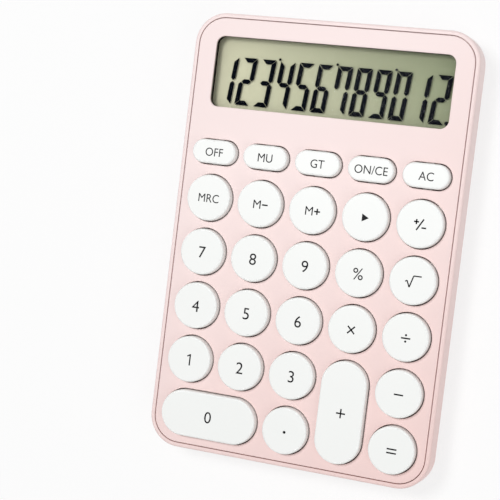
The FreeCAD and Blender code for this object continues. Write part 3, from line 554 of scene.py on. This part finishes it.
def make_sheet(low, high, dome_places):
    """The flat sheet between the domes, with holes for them and for the case's pillars."""
    start_clean()
    bpy.ops.mesh.primitive_cube_add(size=1)
    sheet = bpy.context.object
    sheet.location = ((low.x + high.x) / 2, (low.y + high.y) / 2, low.z + MAT_THICKNESS / 2 * MM)
    sheet.scale = (high.x - low.x, high.y - low.y, MAT_THICKNESS * MM)
    settle(sheet)
    select_faces(sheet, lambda face: False)
    bpy.ops.mesh.select_mode(type="EDGE")
    bpy.ops.object.mode_set(mode="OBJECT")
    for edge in sheet.data.edges:
        ends = [sheet.data.vertices[index].co for index in edge.vertices]
        edge.select = abs(ends[0].z - ends[1].z) > MAT_THICKNESS / 2 * MM
    bpy.ops.object.mode_set(mode="EDIT")
    bpy.ops.mesh.bevel(offset=MAT_CORNER_RADIUS * MM, segments=CORNER_STEPS)
    bpy.ops.object.mode_set(mode="OBJECT")

    boss_places = [(x * MM, y * MM) for x in BOSS_COLUMNS for y in BOSS_ROWS]
    drill_length = 4 * MAT_THICKNESS * MM
    drills = []
    for diameter, places in ((DOME_FOOT, dome_places), (BOSS_HOLE, boss_places)):
        for x, y in places:
            start_clean()
            bpy.ops.mesh.primitive_cylinder_add(vertices=ROUND_SIDES, radius=diameter / 2 * MM,
                                                depth=drill_length, location=(x, y, low.z))
            drills.append(bpy.context.object)
    drill = join(drills, "drill")
    holes = sheet.modifiers.new("holes", "BOOLEAN")
    holes.operation = "DIFFERENCE"
    holes.object = drill
    apply_modifiers(sheet)
    bpy.data.objects.remove(drill)
    return join([sheet], "keypad_sheet")


def make_mat(silicone):
    """The silicone mat, with a dome under each key."""
    low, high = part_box("keypad_mat")
    keys = [name for name in frame["nodes"] if name.startswith("key_")]
    dome_places = {key: key_ends(key) for key in keys}
    sheet = make_sheet(low, high, sum(dome_places.values(), []))
    sheet.data.materials.clear()
    sheet.data.materials.append(silicone)
    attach(sheet, "housing")
    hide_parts("keypad_mat")
    model = make_dome()
    for key, places in dome_places.items():
        domes = []
        for x, y in places:
            domes.append(copy_of(model))
            domes[-1].data.transform(Matrix.Translation((x, y, low.z)))
        dome = join(domes, key.replace("key_", "dome_"))
        bpy.ops.object.shade_smooth_by_angle()
        dome.data.materials.append(silicone)
        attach(dome, "housing")
        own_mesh(dome)
    bpy.data.objects.remove(model)


# Legends
def mesh_box(piece):
    places = [vertex.co for vertex in piece.data.vertices]
    return (Vector([min(p[axis] for p in places) for axis in range(3)]),
            Vector([max(p[axis] for p in places) for axis in range(3)]))


def typed(text, height, width_share=1.0):
    """Words set in type, centred, with capitals of a height in millimetres."""
    start_clean()
    bpy.ops.object.text_add()
    words = bpy.context.object
    words.data.body = text
    words.data.resolution_u = TYPE_STEPS
    bpy.ops.object.convert(target="MESH")
    words = bpy.context.object
    low, high = mesh_box(words)
    size = height * MM / (high.y - low.y)
    centre = (low + high) / 2
    spread = Matrix.Diagonal((size * width_share, size, size, 1))
    words.data.transform(spread @ Matrix.Translation(-centre))
    return words


def stroke(start, end, width=INK_STROKE):
    """A straight stroke from one place to another."""
    run = Vector(end) - Vector(start)
    bar = flat_bar(-run.length / 2, run.length / 2, -width / 2, width / 2)
    turn = Matrix.Rotation(math.atan2(run.y, run.x), 4, "Z")
    middle = (Vector(start) + Vector(end)) / 2 * MM
    bar.data.transform(Matrix.Translation((*middle, 0)) @ turn)
    return bar


def shift(pieces, x, y=0.0):
    for piece in pieces:
        piece.data.transform(Matrix.Translation((x * MM, y * MM, 0)))
    return pieces


def minus_sign(size):
    return [stroke((-size / 2, 0), (size / 2, 0))]


def plus_sign(size):
    return minus_sign(size) + [stroke((0, -size / 2), (0, size / 2))]


def times_sign(size):
    half = size / 2
    return [stroke((-half, -half), (half, half)), stroke((-half, half), (half, -half))]


def divide_sign(size):
    dots = [flat_dot(0, side * size / 3, DIVIDE_DOT) for side in (1, -1)]
    return minus_sign(size) + dots


def equals_sign(size):
    half = EQUALS_SPACING / 2
    return shift(minus_sign(size), 0, half) + shift(minus_sign(size), 0, -half)


def root_sign():
    return [stroke(start, end, FINE_STROKE) for start, end in zip(ROOT_CORNERS, ROOT_CORNERS[1:])]


def sign_change():
    """A small plus and a small minus on the two sides of a slash."""
    plus_size, plus_place = 1.7, (-1.3, 0.9)
    minus_size, minus_place = 1.6, (1.4, -1.0)
    slash_end = Vector((1.1, 1.9))
    plus = shift(plus_sign(plus_size), *plus_place)
    slash = [stroke(-slash_end, slash_end)]
    minus = shift(minus_sign(minus_size), *minus_place)
    return plus + slash + minus


def play_mark():
    """A small solid triangle that points to the right."""
    back, tip, half = -1.1, 1.3, 1.35
    mark = flat_bar(back, tip, -half, half)
    for side in (1, -1):
        cut_away(mark, (tip, 0), (half, side * (tip - back)))
    return [mark]


def figure_one():
    """The figure 1: an upright with a short flag at its top."""
    top = FIGURE_HEIGHT / 2
    stem_x = 0.25
    flag_start = (0.3, top - 0.2)
    flag_end = (-0.85, top - 0.8)
    return [stroke((stem_x, -top), (stem_x, top)), stroke(flag_start, flag_end, FLAG_STROKE)]


def legend_pieces():
    """The flat pieces of each key's legend, about the middle of the key."""
    legends = {key: [typed(words, WORD_HEIGHT, WORD_WIDTH_SHARE)] for key, words in WORDS.items()}
    for key, figure in FIGURES.items():
        legends[key] = [typed(figure, FIGURE_HEIGHT)]
    legends["key_1"] = figure_one()
    for key, sign in (("key_m_minus", minus_sign), ("key_m_plus", plus_sign)):
        letter = shift([typed("M", WORD_HEIGHT)], MEMORY_LETTER_X)
        legends[key] = letter + shift(sign(MEMORY_SIGN_SIZE), MEMORY_SIGN_X)
    legends.update({
        "key_plus": plus_sign(SIGN_SIZE), "key_minus": minus_sign(SIGN_SIZE),
        "key_equals": equals_sign(EQUALS_SIZE), "key_multiply": times_sign(TIMES_SIZE),
        "key_divide": divide_sign(SIGN_SIZE), "key_root": root_sign(),
        "key_sign": sign_change(), "key_backspace": play_mark(),
        "key_point": [flat_dot(*POINT_PLACE, POINT_DOT)],
    })
    return legends


def print_legends(ink):
    for key, pieces in legend_pieces().items():
        legend = join(pieces, key.replace("key_", "legend_"))
        thicken(legend, INK_THICKNESS)
        low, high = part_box(key)
        place = ((low.x + high.x) / 2 + LEGEND_SHIFT[0] * MM,
                 (low.y + high.y) / 2 + LEGEND_SHIFT[1] * MM,
                 high.z + INK_THICKNESS / 2 * MM)
        legend.data.transform(Matrix.Translation(place))
        legend.data.materials.clear()
        legend.data.materials.append(ink)
        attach(legend, key)


# Room
def mix_by_ray(tree):
    """One where the camera, a reflection or a clear pane looks, and nothing elsewhere."""
    path = tree.nodes.new("ShaderNodeLightPath")
    total = path.outputs["Is Camera Ray"]
    for name in ("Is Glossy Ray", "Is Transmission Ray"):
        either = tree.nodes.new("ShaderNodeMath")
        either.operation = "MAXIMUM"
        tree.links.new(total, either.inputs[0])
        tree.links.new(path.outputs[name], either.inputs[1])
        total = either.outputs["Value"]
    return total


def make_floor():
    start_clean()
    bpy.ops.mesh.primitive_plane_add(size=FLOOR_SIZE)
    floor = bpy.context.object
    floor.name = "pale_floor"
    material = finish("pale_floor_paint", paint(250, 250, 250), paint(253, 253, 253), (0.8, 0.9),
                      patch=0.5)
    tree = material.node_tree
    glow = tree.nodes.new("ShaderNodeEmission")
    blend = tree.nodes.new("ShaderNodeMixShader")
    seen = number_between(tree, mix_by_ray(tree), 0.0, FLOOR_GLOW)
    tree.links.new(seen, blend.inputs["Fac"])
    tree.links.new(tree.nodes["Principled BSDF"].outputs["BSDF"], blend.inputs[1])
    tree.links.new(glow.outputs["Emission"], blend.inputs[2])
    tree.links.new(blend.outputs["Shader"], tree.nodes["Material Output"].inputs["Surface"])
    floor.data.materials.append(material)


def add_lamp(name, place, size, watts):
    start_clean()
    bpy.ops.object.light_add(type="AREA", location=place)
    lamp = bpy.context.object
    lamp.name = name
    lamp.data.size = size
    lamp.data.energy = watts
    lamp.rotation_euler = (-Vector(place)).to_track_quat("-Z", "Y").to_euler()


def light_room():
    world = bpy.data.worlds.new("pale_room")
    bpy.context.scene.world = world
    world.use_nodes = True
    tree = world.node_tree
    sky = tree.nodes["Background"]
    sky.inputs["Color"].default_value = (1, 1, 1, 1)
    strength = number_between(tree, mix_by_ray(tree), ROOM_LIGHT, 1.0)
    tree.links.new(strength, sky.inputs["Strength"])
    add_lamp("window_lamp", **WINDOW_LAMP)
    add_lamp("fill_lamp", **FILL_LAMP)


def set_camera():
    turn = [math.radians(angle) for angle in CAMERA_TURN]
    bpy.ops.object.camera_add(location=CAMERA_PLACE, rotation=turn)
    camera = bpy.context.object
    camera.name = "photo_camera"
    camera.data.lens = CAMERA_LENS
    camera.data.clip_start = CAMERA_NEAR
    bpy.context.scene.camera = camera


bpy.context.scene.view_settings.view_transform = "Standard"
finishes = make_finishes()
dress_nodes(finishes)
black_ink = finish("black_segment_ink", paint(8, 11, 18), paint(13, 17, 26), (0.4, 0.5),
                   patch=0.004, specular=0.0)
grey_ink = finish("dark_grey_legend_ink", paint(14, 14, 17), paint(22, 22, 26), (0.4, 0.5),
                  patch=0.004, specular=0.1)
make_cell(finishes["display_glass"])
make_digits(black_ink)
make_mat(finishes["silicone"])
print_legends(grey_ink)
make_floor()
light_room()
set_camera()
